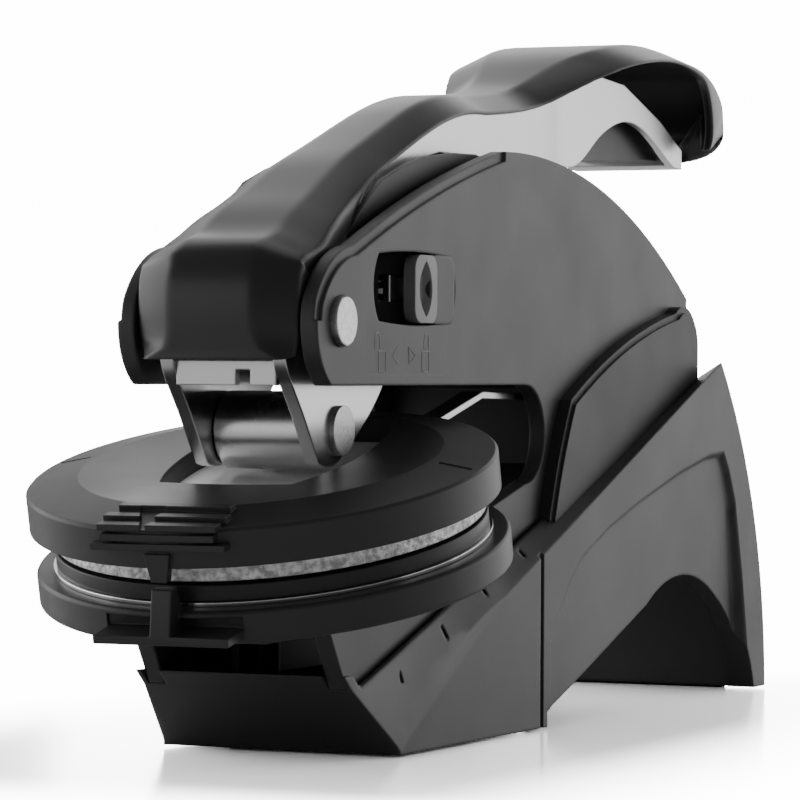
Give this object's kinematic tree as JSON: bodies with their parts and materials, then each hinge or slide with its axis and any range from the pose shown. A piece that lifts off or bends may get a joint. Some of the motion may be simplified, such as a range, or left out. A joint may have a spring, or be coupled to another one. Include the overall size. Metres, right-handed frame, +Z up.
{
  "type": "desk seal embosser",
  "caption": "Hand-pressed desk embosser: a long curved lever drives a steel roller down on a round, tilted die holder set in the throat of a two-plate frame on an arched base.",
  "frame": {"origin": "middle of the footprint, on the surface that the pads stand on", "axes": "+Z up, -Y towards the die holder and the user, +X to the side with the lock knob"},
  "size_m": [0.0666, 0.1864, 0.1074],
  "materials": {
    "base_plastic": "satin moulded grey-black",
    "plate_plastic": "fine matt texture, grey-black",
    "panel_plastic": "matt black, bevelled edge",
    "core_plastic": "matt black",
    "cover_plastic": "satin to semi-gloss black",
    "holder_plastic": "matt black",
    "counter_plastic": "dark satin",
    "skirt_metal": "satin silver",
    "bright_steel": "drawn bright steel",
    "roller_steel": "ground bright steel",
    "trim_steel": "polished rolled edge",
    "die_metal": "rough cast silver",
    "pad_rubber": "soft matt"
  },
  "bodies": {
    "frame": {"base_shell": "base_plastic", "rubber_pads": "pad_rubber", "base_screws": "bright_steel", "frame_plate_right": "plate_plastic", "frame_plate_left": "plate_plastic", "frame_core": "core_plastic", "jaw_bed": "core_plastic", "frame_bolts": "bright_steel", "side_panel_right": "panel_plastic", "side_panel_left": "panel_plastic", "pivot_pin": "bright_steel", "lever_spring": "bright_steel", "spring_post": "core_plastic"},
    "lever": {"lever_shell": "cover_plastic", "lever_skirt": "skirt_metal", "lever_core": "core_plastic", "lever_bush": "bright_steel", "fork_plate_right": "bright_steel", "fork_plate_left": "bright_steel", "fork_web": "bright_steel", "roller_axle": "bright_steel"},
    "roller": {"press_roller": "roller_steel"},
    "lock": {"lock_knob": "panel_plastic", "lock_slider": "bright_steel"},
    "holder": {"lower_ring": "holder_plastic", "holder_runner": "holder_plastic", "trim_ring": "trim_steel", "counter_plate": "counter_plastic", "guide_pins": "bright_steel"},
    "cap": {"cassette_cap": "holder_plastic", "cap_plate": "bright_steel", "upper_die": "die_metal", "cap_leaf": "bright_steel"}
  },
  "joints": [
    {"name": "lever_press", "type": "hinge", "parent": "frame", "child": "lever", "pos_m": [0, -0.06765, 0.0605], "axis": [-1, 0, 0], "range_deg": [0, 9], "stiffness_Nm_per_rad": 1.5, "springref_deg": -5.73, "deforming": ["lever_spring"]},
    {"name": "roller_spin", "type": "hinge", "parent": "lever", "child": "roller", "pos_m": [0, -0.05595, 0.0454], "axis": [1, 0, 0], "continuous": true},
    {"name": "lock_slide", "type": "slide", "parent": "frame", "child": "lock", "axis": [0, -1, 0], "range_m": [0, 0.0105]},
    {"name": "holder_slide", "type": "slide", "parent": "frame", "child": "holder", "axis": [0, -0.9724, -0.2334], "range_m": [0, 0.01]},
    {"name": "cap_press", "type": "slide", "parent": "holder", "child": "cap", "axis": [0, 0.2334, -0.9724], "range_m": [0, 0.00042]}
  ],
  "couplings": [
    {"joint": "cap_press", "follows": "lever_press", "m_per_rad": 0.002546}
  ]
}
